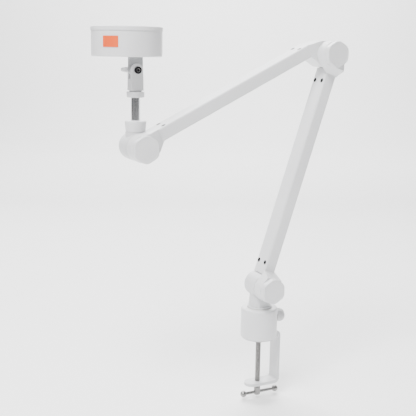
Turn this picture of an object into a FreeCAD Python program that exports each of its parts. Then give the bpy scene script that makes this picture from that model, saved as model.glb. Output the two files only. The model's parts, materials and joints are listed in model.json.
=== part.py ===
# Articulated desk-clamp dental light: clamp, swivel base, two box-section arms with
# friction hinges, wrist with a chrome rod, tilt bracket and a round lamp head.
# Millimetres. Z is up, the origin is the centre of the base's underside on the desk top.
# The arms lie in the XZ plane: elbow towards +X, lamp towards -X, hinge knobs towards -Y.
import FreeCAD, Part
import math
import os
from FreeCAD import Placement, Rotation, Vector

# General fits
fit = 0.05              # radial clearance of a shaft in its hole
face_gap = 0.1          # axial gap between flat faces that turn on each other
play = 0.3              # gap between faces of pieces that move past each other

# Base drum and swivel
drum_radius = 28.0
drum_height = 48.0
drum_wall = 3.0
drum_edge = 3.0
desk_pad_thickness = 1.5
desk_pad_chamfer = 0.4
base_plate_thickness = 3.0
post_shaft_radius = 8.0
bushing_wall = 2.0
boss_wall = 3.0
shaft_end_height = 14.0
thrust_washer_thickness = 1.0
thrust_washer_radius = 19.0
post_flange_thickness = 2.0
post_flange_edge = 0.6
post_neck_foot = 17.0
post_neck_top = 14.0
retainer_radius = 10.5
retainer_thickness = 1.5
retainer_screw_radius = 2.5
retainer_screw_length = 11.0
retainer_screw_head_radius = 4.5
retainer_screw_head_height = 3.0
retainer_screw_key = 4.0
base_screw_radius = 2.0
base_screw_inset = 9.5     # from the drum's inner wall to the screws beside it
base_screw_y = 9.0
column_radius = 3.6
lock_height = 30.5
lock_screw_radius = 3.0
lock_knob_radius = 10.5
lock_knob_length = 13.5

# Clamp
frame_thickness = 4.5
frame_width = 23.0
plate_outset = 0.0        # from the drum's side out to the back plate's inner face
jaw_opening = 73.0      # from the desk top down to the lower jaw
upper_jaw_gap = 5.0       # from the drum's inner wall to the end of the upper jaw
lower_jaw_reach = 10.0
bend_radius = 3.5
clamp_screw_radius = 4.0
pressure_pad_radius = 10.0
pressure_pad_thickness = 5.0
pad_drop = 2.2          # from the desk top down to the pad, wound right up
pad_socket_radius = 3.0
hub_radius = 5.0
hub_edge = 1.5
hub_top_drop = 2.0
hub_length = 16.0
tommy_bar_radius = 2.3
tommy_bar_length = 56.0
tommy_bar_shift = 4.0
tommy_bar_rise = 4.0
bar_cap_radius = 5.0

# Hinges
hinge_radius = 19.0
knuckle_width = 30.0
cheek_width = 18.0
friction_washer_thickness = 1.2
hinge_clearance = 1.5
bevel_start = 17.5        # from a pivot to where the cheek's front slopes back to its tube
wrist_relief = 24.5       # radius cleared round the wrist pivot for the post's neck
bolt_radius = 4.0
bolt_head_flats = 13.0
bolt_head_height = 5.3
knob_flats = 35.6
knob_length = 9.3
knob_round = 18.9        # radius that rounds off the corners of the knob
knob_chamfer = 1.6
knob_nut_height = 6.5

# Arms
base_pivot_height = 83.0
lower_arm_length = 360.0
upper_arm_length = 323.0
elbow_offset = 17.0     # from the elbow pivot to either tube's centre line
lower_tube_angle = 72.0
upper_tube_angle = 26.3
tube_depth = 30.0
tube_height = 19.0
tube_wall = 2.0
tube_corner = 3.0
plug_length = 28.0
plug_fit = 0.15
base_setback = 25.0     # from a pivot to the end of the tube beside it
elbow_setback = 27.0
wrist_setback = 35.0
tube_screw_setback = 11.0
tube_screw_spacing = 18.0
tube_screw_radius = 2.0
tube_screw_head_radius = 3.4
tube_screw_length = 9.0

# Wrist and rod
neck_radius = 14.0
neck_top = 20.3
collar_foot_radius = 13.4
collar_radius = 14.9
collar_edge = 2.0
collar_chamfer = 0.5
collar_height = 15.2
collar_lip = 3.5
socket_wall_radius = 12.0
rod_radius = 6.0
rod_foot = 9.5
rod_ceiling = 2.0       # wall left between the rod's top and the floor of the fork
collet_height = 4.0
collet_radius = 9.0

# Tilt bracket, measured up from the wrist pivot
lock_ring_bottom = 66.6
lock_ring_radius = 12.0
lock_ring_height = 7.7
bracket_bottom = 76.0
bracket_foot_x = 8.8      # half width and half depth of the block, at its foot and top
bracket_top_x = 8.6
bracket_foot_y = 8.8
bracket_top_y = 7.0
bracket_ear_radius = 8.6
bracket_edge = 1.2
bracket_waist_radius = 8.3
tilt_height = 103.0
fork_floor = 91.0
tab_thickness = 8.0
tab_width = 18.4
tilt_screw_radius = 3.0
tilt_screw_head_radius = 5.0
tilt_screw_head_height = 3.3
tilt_screw_key = 4.0
screw_boss_radius = 7.0
screw_boss_height = 1.0
wing_hub_radius = 6.5
wing_hub_length = 8.0
wing_hub_taper = 1.2
wing_reach = 15.0
wing_root_height = 9.4
wing_tip_height = 5.0

# Lamp head, its underside measured up from the wrist pivot
head_bottom = 120.4
head_radius = 47.2
head_height = 39.0
head_offset = 12.0      # from the rod's axis to the head's axis, towards -X
head_wall = 2.5
head_floor = 3.0
head_edge = 2.0
bezel_height = 5.5
bezel_window_radius = 40.5
bezel_lip = 0.7
bezel_skirt = 4.0
lens_radius = 43.2
lens_thickness = 2.5
gasket_thickness = 1.0
tray_height = 5.0
led_board_thickness = 1.6
led_board_radius = 40.5
led_size = 3.5
led_height = 0.8
led_ring_radius = 25.0
led_ring_count = 10
heat_sink_plate = 3.0
heat_sink_radius = 40.5
fin_height = 9.0
fin_pitch = 7.0
fin_thickness = 1.6
driver_length = 52.0
driver_width = 30.0
driver_thickness = 1.6
driver_rise = 3.0
driver_margin = 5.5
driver_post_radius = 2.5
tab_flange_length = 44.0
tab_flange_width = 26.0
tab_flange_thickness = 2.4
small_screw_radius = 1.5
small_screw_head_radius = 2.8
small_screw_head_height = 1.8
standoff_radius = 3.2
standoff_bore = 8.0
standoff_circle = 35.0
inlet_radius = 5.5
inlet_bore_radius = 2.8
inlet_pin_radius = 1.0
inlet_height = 14.0
label_angle = -136.5
label_span = 26.4
label_height = 14.2
label_drop = 0.3
label_thickness = 0.5

X = Vector(1, 0, 0)
Y = Vector(0, 1, 0)
Z = Vector(0, 0, 1)

# Planes along the hinge axes
knuckle_front = -knuckle_width / 2
cheek_back = knuckle_front - friction_washer_thickness - face_gap
cheek_front = cheek_back - cheek_width
knob_back = cheek_front - face_gap
knob_front = knob_back - knob_length

# Places that follow the drum
throat = drum_radius + plate_outset
upper_jaw_reach = drum_radius - drum_wall - upper_jaw_gap
base_screw_x = drum_radius - drum_wall - base_screw_inset

# Heights in the base
housing_bottom = desk_pad_thickness
jaw_bottom = desk_pad_thickness + base_plate_thickness
jaw_top = jaw_bottom + frame_thickness
bushing_radius = post_shaft_radius + fit + bushing_wall
boss_radius = bushing_radius + fit + boss_wall

# Pivot points
drop_lower = math.sqrt(lower_arm_length ** 2 - elbow_offset ** 2)
drop_upper = math.sqrt(upper_arm_length ** 2 - elbow_offset ** 2)
base_pivot = Vector(0, 0, base_pivot_height)
lower_place = Placement(base_pivot, Rotation(Y * -1, lower_tube_angle))
elbow_pivot = lower_place.multVec(Vector(drop_lower, 0, elbow_offset))
upper_turn = Rotation(Y * -1, upper_tube_angle)
wrist_pivot = elbow_pivot - upper_turn.multVec(Vector(drop_upper, 0, -elbow_offset))
upper_place = Placement(wrist_pivot, upper_turn)
wrist_place = Placement(wrist_pivot, Rotation())

# Heights in the head
head_top = head_bottom + head_height
inside_floor = head_bottom + head_floor
bezel_bottom = head_top - bezel_height
lens_bottom = bezel_bottom + gasket_thickness
tray_bottom = bezel_bottom - tray_height
led_board_bottom = tray_bottom - led_height - led_board_thickness
sink_top = led_board_bottom
sink_bottom = sink_top - heat_sink_plate - fin_height
head_centre = Vector(-head_offset, 0, 0)


def cylinder(radius, length, base=None, axis=None):
    return Part.makeCylinder(radius, length, base or Vector(), axis or Z)


def tube_ring(outer, inner, length, base=None, axis=None):
    return cylinder(outer, length, base, axis).cut(cylinder(inner, length, base, axis))


def block(x0, x1, y0, y1, z0, z1):
    return Part.makeBox(x1 - x0, y1 - y0, z1 - z0, Vector(x0, y0, z0))


def across(radius, y0, y1, x=0.0, z=0.0):
    """A cylinder along Y between two planes."""
    return cylinder(radius, y1 - y0, Vector(x, y0, z), Y)


def plate_y(points, y0, y1):
    """An outline in X and Z, given thickness along Y."""
    outline = Part.makePolygon([Vector(x, y0, z) for x, z in points + points[:1]])
    return Part.Face(outline).extrude(Vector(0, y1 - y0, 0))


def hexagon(radius, length, base, axis, turn=0.0):
    """A hexagonal prism whose corners lie on the radius."""
    corners = []
    for step in range(7):
        angle = math.radians(turn + 60 * step)
        corners.append(Vector(radius * math.cos(angle), radius * math.sin(angle), 0))
    prism = Part.Face(Part.makePolygon(corners)).extrude(Vector(0, 0, length))
    prism.Placement = Placement(base, Rotation(Z, axis))
    return prism


def lines_along(shape, axis):
    """Straight edges of a shape that run along an axis."""
    chosen = []
    for edge in shape.Edges:
        if isinstance(edge.Curve, Part.Line):
            if abs(abs(edge.Curve.Direction.dot(axis)) - 1) < 1e-6:
                chosen.append(edge)
    return chosen


def edges_on_plane(shape, axis, value):
    """Edges that lie wholly in the plane where the axis has this value."""
    chosen = []
    for edge in shape.Edges:
        box = edge.BoundBox
        low = Vector(box.XMin, box.YMin, box.ZMin).dot(axis)
        high = Vector(box.XMax, box.YMax, box.ZMax).dot(axis)
        if abs(low - value) < 1e-4 and abs(high - value) < 1e-4:
            chosen.append(edge)
    return chosen


def joined(shapes):
    body = shapes[0]
    for shape in shapes[1:]:
        body = body.fuse(shape)
    return body.removeSplitter()


def group(shapes):
    return Part.makeCompound(shapes)


def placed(shape, placement):
    moved = shape.copy()
    moved.Placement = placement.multiply(moved.Placement)
    return moved


def screw(shaft_radius, length, head_radius, head_height, seat, axis, socket_flats):
    """A socket screw: the seat is under its head, the axis points out of the head."""
    shaft = cylinder(shaft_radius, length, seat - axis * length, axis)
    head = cylinder(head_radius, head_height, seat, axis)
    rim = edges_far(head, seat + axis * head_height, axis)
    head = head.makeChamfer(head_height * 0.2, rim)
    depth = head_height * 0.55
    socket = hexagon(socket_flats / math.sqrt(3), depth, seat + axis * (head_height - depth), axis)
    return joined([shaft, head]).cut(socket)


def edges_far(shape, point, axis):
    """Round edges whose centre lies in the plane through a point."""
    chosen = []
    for edge in shape.Edges:
        if isinstance(edge.Curve, Part.Circle):
            if abs((edge.Curve.Center - point).dot(axis)) < 1e-6:
                chosen.append(edge)
    return chosen


# ---- Base -------------------------------------------------------------------

def base_screw_places():
    columns = (-base_screw_x, base_screw_x)
    rows = (-base_screw_y, base_screw_y)
    return [Vector(x, y, 0) for x in columns for y in rows]


def drum_housing():
    outer = cylinder(drum_radius, drum_height - housing_bottom, Vector(0, 0, housing_bottom))
    outer = outer.makeFillet(drum_edge, edges_on_plane(outer, Z, drum_height))
    outer = outer.makeFillet(drum_edge / 2, edges_on_plane(outer, Z, housing_bottom))
    hollow_height = drum_height - drum_wall - housing_bottom
    hollow = cylinder(drum_radius - drum_wall, hollow_height, Vector(0, 0, housing_bottom))
    shell = outer.cut(hollow)
    parts = [shell]
    boss_bottom = shaft_end_height + face_gap
    ceiling = drum_height - drum_wall + 1
    parts.append(cylinder(boss_radius, ceiling - boss_bottom, Vector(0, 0, boss_bottom)))
    for place in base_screw_places():
        parts.append(cylinder(column_radius, ceiling - jaw_top, place + Z * jaw_top))
    parts.append(lock_boss())
    housing = joined(parts)
    housing = housing.cut(cylinder(bushing_radius + fit, drum_height, Vector(0, 0, 0)))
    for place in base_screw_places():
        housing = housing.cut(cylinder(base_screw_radius + fit, 11, place + Z * jaw_top))
    housing = housing.cut(clamp_notch(base_screw_x + column_radius + play))
    lock_hole = cylinder(lock_screw_radius + fit, drum_radius + 1, Vector(0, 0, lock_height), X)
    return housing.cut(lock_hole)


def lock_boss():
    """A rib from the central boss to the wall, which carries the lock screw."""
    reach = drum_radius - drum_wall / 2 - bushing_radius
    start = Vector(bushing_radius + fit * 2, 0, lock_height)
    return cylinder(lock_screw_radius * 2, reach, start, X)


def clamp_notch(start):
    """Room for the clamp's bend, from an inner edge out through the base's rim."""
    half = frame_width / 2 + play
    return block(start, drum_radius + 1, -half, half, -1, jaw_top + play)


def base_plate():
    radius = drum_radius - drum_wall - play
    plate = cylinder(radius, base_plate_thickness, Vector(0, 0, desk_pad_thickness))
    for place in base_screw_places():
        plate = plate.cut(cylinder(base_screw_radius + fit, 20, place))
        plate = plate.cut(screw_sink(place))
    return plate.cut(clamp_notch(throat - bend_radius - play))


def screw_sink(place):
    head = base_screw_radius * 2
    seat = place + Z * desk_pad_thickness
    return Part.makeCone(head + fit, base_screw_radius + fit, base_screw_radius, seat)


def base_screws():
    solids = []
    for place in base_screw_places():
        start = place + Z * desk_pad_thickness
        head = Part.makeCone(base_screw_radius * 2, base_screw_radius, base_screw_radius, start)
        shaft = cylinder(base_screw_radius, jaw_top + 9 - desk_pad_thickness, start)
        slot = block(-0.5, 0.5, -base_screw_radius * 1.6, base_screw_radius * 1.6, 0, 0.8)
        slot.translate(start)
        solids.append(joined([head, shaft]).cut(slot))
    return group(solids)


def desk_pad():
    pad = cylinder(drum_radius - drum_wall / 2, desk_pad_thickness)
    pad = pad.makeChamfer(desk_pad_chamfer, edges_on_plane(pad, Z, 0))
    pad = pad.cut(clamp_notch(throat - bend_radius - play))
    for place in base_screw_places():
        pad = pad.cut(cylinder(base_screw_radius * 2 + play, desk_pad_thickness * 3, place - Z))
    return pad


def swivel_bushing():
    bottom = shaft_end_height + face_gap
    bush = tube_ring(bushing_radius, post_shaft_radius + fit, drum_height - bottom, Vector(0, 0, bottom))
    hole = cylinder(lock_screw_radius + fit, bushing_radius * 2, Vector(0, 0, lock_height), X)
    return bush.cut(hole)


def swivel_washer():
    inner = post_shaft_radius + fit
    return tube_ring(thrust_washer_radius, inner, thrust_washer_thickness, Vector(0, 0, drum_height))


def lock_knob():
    start = drum_radius + face_gap
    knob = cylinder(lock_knob_radius, lock_knob_length, Vector(start, 0, lock_height), X)
    knob = knob.makeFillet(lock_knob_length * 0.42, edges_on_plane(knob, X, start + lock_knob_length))
    for step in range(12):
        angle = math.radians(30 * step)
        centre = Vector(0, math.cos(angle), math.sin(angle)) * (lock_knob_radius + 1.0)
        flute = cylinder(1.6, lock_knob_length * 0.5, centre + Vector(start, 0, lock_height), X)
        knob = knob.cut(flute)
    return knob.cut(cylinder(lock_screw_radius, lock_knob_length * 0.5, Vector(start, 0, lock_height), X))


def lock_screw():
    tip = post_shaft_radius + fit
    length = drum_radius + face_gap + lock_knob_length * 0.5 - tip
    body = cylinder(lock_screw_radius, length, Vector(tip, 0, lock_height), X)
    return body.makeChamfer(0.6, edges_on_plane(body, X, tip))


# ---- Clamp ------------------------------------------------------------------

def clamp_frame():
    """A flat steel bar bent into a C: upper jaw in the drum, back plate, lower jaw."""
    outside = throat + frame_thickness
    half = frame_width / 2
    low = -jaw_opening - frame_thickness
    outer = block(-upper_jaw_reach, outside, -half, half, low, jaw_top)
    outer = outer.makeFillet(bend_radius + frame_thickness, corner_lines(outer, outside))
    inner = block(-upper_jaw_reach - 10, throat, -half - 1, half + 1, -jaw_opening, jaw_bottom)
    inner = inner.makeFillet(bend_radius, corner_lines(inner, throat))
    frame = outer.cut(inner)
    shortening = block(-upper_jaw_reach - 1, -lower_jaw_reach, -half - 1, half + 1, low - 1, 1 - jaw_opening)
    frame = frame.cut(shortening)
    nose = cylinder(half, frame_thickness, Vector(-lower_jaw_reach, 0, low))
    frame = joined([frame, nose])
    frame = frame.cut(cylinder(clamp_screw_radius + fit, frame_thickness * 2, Vector(0, 0, low - 1)))
    for place in base_screw_places():
        low_side = place + Z * (jaw_bottom - 1)
        frame = frame.cut(cylinder(base_screw_radius + fit, frame_thickness + 2, low_side))
    return frame


def corner_lines(shape, x):
    """The upper and lower edges along Y at one side of a block."""
    return [edge for edge in lines_along(shape, Y) if abs(edge.CenterOfMass.x - x) < 1e-6]


def clamp_screw():
    hub_top = -jaw_opening - frame_thickness - hub_top_drop
    pad_bottom = -pad_drop - pressure_pad_thickness
    shaft = cylinder(clamp_screw_radius, pad_bottom - hub_top, Vector(0, 0, hub_top))
    tip = cylinder(pad_socket_radius, pressure_pad_thickness / 2, Vector(0, 0, pad_bottom))
    hub = cylinder(hub_radius, hub_length, Vector(0, 0, hub_top - hub_length))
    rims = edges_on_plane(hub, Z, hub_top) + edges_on_plane(hub, Z, hub_top - hub_length)
    hub = hub.makeFillet(hub_edge, rims)
    bar_height = hub_top - hub_length + tommy_bar_rise
    hole = cylinder(tommy_bar_radius + fit, hub_radius * 3, Vector(-hub_radius * 1.5, 0, bar_height), X)
    return joined([shaft, tip, hub]).cut(hole)


def bar_centre():
    hub_bottom = -jaw_opening - frame_thickness - hub_top_drop - hub_length
    return Vector(tommy_bar_shift, 0, hub_bottom + tommy_bar_rise)


def tommy_bar():
    return cylinder(tommy_bar_radius, tommy_bar_length, bar_centre() - X * (tommy_bar_length / 2), X)


def bar_caps():
    """Ball-shaped ends pushed onto the bar."""
    solids = []
    for side in (-1, 1):
        seat = bar_centre() + X * (side * tommy_bar_length / 2)
        ball = Part.makeSphere(bar_cap_radius, seat)
        socket = cylinder(tommy_bar_radius, bar_cap_radius * 2, seat, X * -side)
        solids.append(ball.cut(socket))
    return group(solids)


def pressure_pad():
    bottom = -pad_drop - pressure_pad_thickness
    pad = cylinder(pressure_pad_radius, pressure_pad_thickness, Vector(0, 0, bottom))
    pad = pad.makeChamfer(1.0, edges_on_plane(pad, Z, bottom))
    socket = cylinder(pad_socket_radius + fit, pressure_pad_thickness / 2 + face_gap, Vector(0, 0, bottom))
    return pad.cut(socket)


# ---- Hinge hardware, made at a pivot ------------------------------------------

def knuckle_bore():
    """What a back knuckle loses to its bolt and the bolt's hexagonal head."""
    hole = across(bolt_radius + fit, -knuckle_width, knuckle_width)
    pocket_radius = (bolt_head_flats / 2 + fit) / math.cos(math.radians(30))
    floor = Vector(0, knuckle_width / 2 - bolt_head_height, 0)
    pocket = hexagon(pocket_radius, bolt_head_height + 1, floor, Y)
    return hole.fuse(pocket)


def hinge_bolt():
    head_back = knuckle_width / 2 - bolt_head_height
    radius = bolt_head_flats / 2 / math.cos(math.radians(30))
    head = hexagon(radius, bolt_head_height, Vector(0, head_back, 0), Y)
    shaft = across(bolt_radius, knob_back - knob_nut_height, head_back)
    return joined([head, shaft])


def friction_washer():
    ring = across(hinge_radius - 1, knuckle_front - friction_washer_thickness, knuckle_front)
    return ring.cut(across(bolt_radius + fit, knuckle_front - 5, knuckle_front + 5))


def knob():
    radius = knob_flats / math.sqrt(3)
    prism = hexagon(radius, knob_length, Vector(0, knob_back, 0), Y * -1, 90)
    prism = prism.common(across(knob_round, knob_front - 1, knob_back + 1))
    prism = prism.makeChamfer(knob_chamfer, edges_on_plane(prism, Y, knob_front))
    nut_radius = bolt_head_flats / 2 / math.cos(math.radians(30))
    pocket = hexagon(nut_radius, knob_nut_height, Vector(0, knob_back, 0), Y * -1)
    return prism.cut(pocket)


def knob_nut():
    radius = bolt_head_flats / 2 / math.cos(math.radians(30))
    nut = hexagon(radius, knob_nut_height, Vector(0, knob_back, 0), Y * -1)
    return nut.cut(across(bolt_radius + fit, knob_front, knob_back + 1))


def tangent_point(corner, radius, side):
    distance = math.hypot(corner[0], corner[1])
    angle = math.atan2(corner[1], corner[0]) + side * math.acos(radius / distance)
    return (radius * math.cos(angle), radius * math.sin(angle))


def racket(radius, corners, y0, y1):
    """A disc round the pivot drawn out by straight tangents to outer corners."""
    first = tangent_point(corners[0], radius, 1)
    last = tangent_point(corners[-1], radius, -1)
    web = plate_y([first] + corners + [last, (0.0, 0.0)], y0, y1)
    return joined([across(radius, y0, y1), web])


def tube_plug(start, z):
    """The tongue of an end fitting that fills the tube."""
    half_y = tube_depth / 2 - tube_wall - plug_fit
    half_z = tube_height / 2 - tube_wall - plug_fit
    plug = block(start - 1, start + plug_length, -half_y, half_y, z - half_z, z + half_z)
    return plug.makeFillet(tube_corner / 3, lines_along(plug, X))


def cheek_bevel(setback):
    """What is cut off in front of the slope between a cheek and its tube."""
    reach = knuckle_width * 2
    outline = [
        Vector(bevel_start, cheek_front, 0),
        Vector(setback, -tube_depth / 2, 0),
        Vector(setback + reach, -tube_depth / 2, 0),
        Vector(setback + reach, cheek_front - reach, 0),
        Vector(bevel_start, cheek_front - reach, 0),
        Vector(bevel_start, cheek_front, 0),
    ]
    wedge = Part.Face(Part.makePolygon(outline)).extrude(Z * (reach * 2))
    wedge.translate(Z * -reach)
    return wedge


def cheek_fitting(setback, z, reach_in, relief):
    """End fitting whose hinge cheek stands in front of the other piece's knuckle."""
    corners = [(setback, z + tube_height / 2), (setback, z - tube_height / 2)]
    cheek = racket(hinge_radius, corners, cheek_front, cheek_back)
    cheek = cheek.makeFillet(1.5, edges_on_plane(cheek, Y, cheek_front))
    cheek = cheek.cut(cheek_bevel(setback))
    low = z - tube_height / 2
    bridge = block(reach_in, setback, cheek_back - 0.5, tube_depth / 2, low, low + tube_height)
    bridge = bridge.makeFillet(tube_corner, [e for e in lines_along(bridge, X) if e.CenterOfMass.y > 0])
    turning = across(relief, cheek_back, tube_depth)
    bridge = bridge.cut(turning)
    fitting = joined([cheek, bridge, tube_plug(setback, z)])
    return fitting.cut(across(bolt_radius + fit, cheek_front - 1, cheek_back + 1))


def knuckle_fitting(setback, z):
    """End fitting whose knuckle lies in line with its tube."""
    shoulder = hinge_radius + 3.0
    top = z + tube_height / 2
    corners = [(2.0, shoulder), (setback, top), (setback, z - tube_height / 2)]
    body = racket(hinge_radius, corners, knuckle_front, knuckle_width / 2)
    fitting = joined([body, tube_plug(setback, z)])
    return fitting.cut(knuckle_bore())


def mirrored_end(shape, distance, rise):
    """Turn a fitting made at the origin round to face back from the far pivot."""
    turned = shape.mirror(Vector(), X)
    turned.translate(Vector(distance, 0, rise))
    return turned


# ---- Arms -------------------------------------------------------------------

def arm_tube(start, end):
    half_y = tube_depth / 2
    half_z = tube_height / 2
    outer = block(start, end, -half_y, half_y, -half_z, half_z)
    outer = outer.makeFillet(tube_corner, lines_along(outer, X))
    bore_y = half_y - tube_wall
    bore_z = half_z - tube_wall
    inner = block(start - 1, end + 1, -bore_y, bore_y, -bore_z, bore_z)
    inner = inner.makeFillet(tube_corner - tube_wall, lines_along(inner, X))
    return outer.cut(inner)


def tube_screw_places(start, end):
    stations = (start + tube_screw_setback, end - tube_screw_setback)
    offsets = (-tube_screw_spacing / 2, tube_screw_spacing / 2)
    return [Vector(x, y, tube_height / 2) for x in stations for y in offsets]


def tube_screw(place):
    sink = tube_screw_head_radius - tube_screw_radius
    head = Part.makeCone(tube_screw_radius, tube_screw_head_radius, sink, place - Z * sink)
    shaft = cylinder(tube_screw_radius, tube_screw_length, place - Z * tube_screw_length)
    socket = hexagon(1.5, 1.6, place - Z * 1.6, Z)
    return joined([head, shaft]).cut(socket)


def tube_screws(start, end):
    return group([tube_screw(place) for place in tube_screw_places(start, end)])


def drilled(shape, start, end):
    """Cut the tube screws' countersunk holes."""
    for place in tube_screw_places(start, end):
        sink = tube_screw_head_radius - tube_screw_radius
        wide = tube_screw_head_radius + fit
        shape = shape.cut(Part.makeCone(tube_screw_radius + fit, wide, sink, place - Z * sink))
        depth = tube_screw_length + 0.5
        shape = shape.cut(cylinder(tube_screw_radius + fit, depth, place - Z * depth))
    return shape


def lower_arm():
    start = base_setback
    end = drop_lower - elbow_setback
    relief = hinge_radius + hinge_clearance
    foot = cheek_fitting(base_setback, 0.0, 0.0, relief)
    # The elbow end is made with its pivot at the origin and its tube above it, then turned round.
    top = cheek_fitting(elbow_setback, elbow_offset, 3.0, relief)
    top = top.mirror(Vector(), Z)
    top = mirrored_end(top, drop_lower, elbow_offset)
    return {
        "lower_arm_tube": drilled(arm_tube(start, end), start, end),
        "lower_arm_base_fitting": drilled(foot, start, end),
        "lower_arm_elbow_fitting": drilled(top, start, end),
        "lower_arm_screws": tube_screws(start, end),
    }


def upper_arm():
    start = wrist_setback
    end = drop_upper - elbow_setback
    wrist_end = cheek_fitting(wrist_setback, 0.0, 0.0, wrist_relief)
    elbow_end = mirrored_end(knuckle_fitting(elbow_setback, elbow_offset), drop_upper, -elbow_offset)
    return {
        "upper_arm_tube": drilled(arm_tube(start, end), start, end),
        "upper_arm_wrist_fitting": drilled(wrist_end, start, end),
        "upper_arm_elbow_fitting": drilled(elbow_end, start, end),
        "upper_arm_screws": tube_screws(start, end),
    }


# ---- Base post --------------------------------------------------------------

def base_post():
    """Swivel shaft, flange, tapered neck and the back knuckle of the base hinge."""
    seat = drum_height + thrust_washer_thickness
    flange = cylinder(thrust_washer_radius, post_flange_thickness, Vector(0, 0, seat))
    flange_top = seat + post_flange_thickness
    flange = flange.makeChamfer(post_flange_edge, edges_on_plane(flange, Z, flange_top))
    neck_height = base_pivot_height - flange_top
    neck = Part.makeCone(post_neck_foot, post_neck_top, neck_height, Vector(0, 0, flange_top))
    shaft = cylinder(post_shaft_radius, seat - shaft_end_height, Vector(0, 0, shaft_end_height))
    knuckle = across(hinge_radius, knuckle_front, knuckle_width / 2, 0, base_pivot_height)
    neck = neck.common(block(-40, 40, knuckle_front, 40, 0, base_pivot_height))
    post = joined([shaft, flange, neck, knuckle])
    bore = knuckle_bore()
    bore.translate(base_pivot)
    thread = cylinder(retainer_screw_radius, retainer_screw_length + 1, Vector(0, 0, shaft_end_height))
    return post.cut(bore).cut(thread)


def post_retainer():
    base = Vector(0, 0, shaft_end_height - retainer_thickness)
    return tube_ring(retainer_radius, retainer_screw_radius + fit, retainer_thickness, base)


def retainer_screw():
    seat = Vector(0, 0, shaft_end_height - retainer_thickness)
    return screw(
        retainer_screw_radius, retainer_screw_length, retainer_screw_head_radius,
        retainer_screw_head_height, seat, Z * -1, retainer_screw_key,
    )


# ---- Wrist ------------------------------------------------------------------

def wrist_post():
    """Back knuckle of the wrist hinge with the rod's socket above it."""
    knuckle = across(hinge_radius, knuckle_front, knuckle_width / 2)
    neck = cylinder(neck_radius, neck_top)
    socket_top = neck_top + collar_height - collar_lip
    socket = cylinder(socket_wall_radius, socket_top)
    post = joined([knuckle, neck, socket])
    post = post.cut(knuckle_bore())
    post = post.cut(cylinder(rod_radius + fit, socket_top, Vector(0, 0, rod_foot - face_gap)))
    collet_seat = Vector(0, 0, socket_top - collet_height)
    return post.cut(cylinder(collet_radius + fit, collet_height + 1, collet_seat))


def collar_nut():
    """Ring nut that closes the collet on the rod."""
    bottom = neck_top + face_gap
    nut = Part.makeCone(collar_foot_radius, collar_radius, collar_height, Vector(0, 0, bottom))
    nut = nut.makeFillet(collar_edge, edges_on_plane(nut, Z, bottom + collar_height))
    nut = nut.makeChamfer(collar_chamfer, edges_on_plane(nut, Z, bottom))
    inside = collar_height - collar_lip
    nut = nut.cut(cylinder(socket_wall_radius + fit, inside, Vector(0, 0, bottom)))
    return nut.cut(cylinder(rod_radius + play, collar_height * 2, Vector(0, 0, bottom)))


def rod_collet():
    top = neck_top + collar_height - collar_lip
    ring = tube_ring(collet_radius, rod_radius + fit, collet_height, Vector(0, 0, top - collet_height))
    return ring.cut(block(0, collet_radius + 1, -0.5, 0.5, top - collet_height, top))


def chrome_rod():
    top = fork_floor - rod_ceiling - face_gap
    rod = cylinder(rod_radius, top - rod_foot, Vector(0, 0, rod_foot))
    return rod.makeChamfer(0.8, edges_on_plane(rod, Z, rod_foot))


# ---- Tilt bracket -----------------------------------------------------------

def lock_ring():
    ring = cylinder(lock_ring_radius, lock_ring_height, Vector(0, 0, lock_ring_bottom))
    ring = ring.makeFillet(1.2, edges_on_plane(ring, Z, lock_ring_bottom))
    return ring.cut(cylinder(rod_radius + fit, 40, Vector(0, 0, lock_ring_bottom - 1)))


def tapered_block(low, high):
    """A block whose four sides lean inwards, with rounded corners."""
    front = plate_y(
        [(-bracket_foot_x, low), (bracket_foot_x, low), (bracket_top_x, high), (-bracket_top_x, high)],
        -bracket_foot_y * 2,
        bracket_foot_y * 2,
    )
    side = plate_y(
        [(-bracket_foot_y, low), (bracket_foot_y, low), (bracket_top_y, high), (-bracket_top_y, high)],
        -bracket_foot_x * 2,
        bracket_foot_x * 2,
    )
    side.rotate(Vector(), Z, 90)
    body = front.common(side)
    corners = [edge for edge in body.Edges if edge.BoundBox.ZLength > (high - low) * 0.9]
    return body.makeFillet(bracket_edge, corners)


def bracket_block():
    """Square foot that narrows to two ears with rounded tops."""
    low = bracket_bottom
    high = tilt_height + bracket_ear_radius
    reach = bracket_foot_x * 2
    rounding = across(bracket_ear_radius, -reach, reach, 0, tilt_height)
    keep = joined([rounding, block(-reach, reach, -reach, reach, low, tilt_height)])
    body = tapered_block(low, high).common(keep)
    body = joined([body, screw_boss(-1), neck_step()])
    gap = tab_thickness / 2 + play / 2
    body = body.cut(block(-reach, reach, -gap, gap, fork_floor, high + 1))
    body = body.cut(across(tilt_screw_radius + fit, -reach, reach, 0, tilt_height))
    foot = lock_ring_bottom
    bore = cylinder(rod_radius + fit, fork_floor - rod_ceiling - foot, Vector(0, 0, foot))
    return body.cut(bore)


def neck_step():
    """Narrow waist between the block and the lock ring."""
    bottom = lock_ring_bottom + lock_ring_height + face_gap
    return cylinder(bracket_waist_radius, bracket_bottom - bottom + 0.5, Vector(0, 0, bottom))


def flat_at_tilt():
    """Half depth of the bracket at the tilt screw's height."""
    rise = tilt_height + bracket_ear_radius - bracket_bottom
    share = (tilt_height - bracket_bottom) / rise
    return bracket_foot_y + (bracket_top_y - bracket_foot_y) * share


def screw_boss(side):
    start = tab_thickness / 2 + play
    end = flat_at_tilt() + screw_boss_height
    low, high = sorted((side * start, side * end))
    return across(screw_boss_radius, low, high, 0, tilt_height)


def tilt_screw():
    seat = Vector(0, -flat_at_tilt() - screw_boss_height, tilt_height)
    length = flat_at_tilt() * 2 + screw_boss_height + tilt_washer_thickness() + wing_hub_length
    return screw(
        tilt_screw_radius, length, tilt_screw_head_radius, tilt_screw_head_height,
        seat, Y * -1, tilt_screw_key,
    )


def tilt_washer_thickness():
    return 1.6


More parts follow.
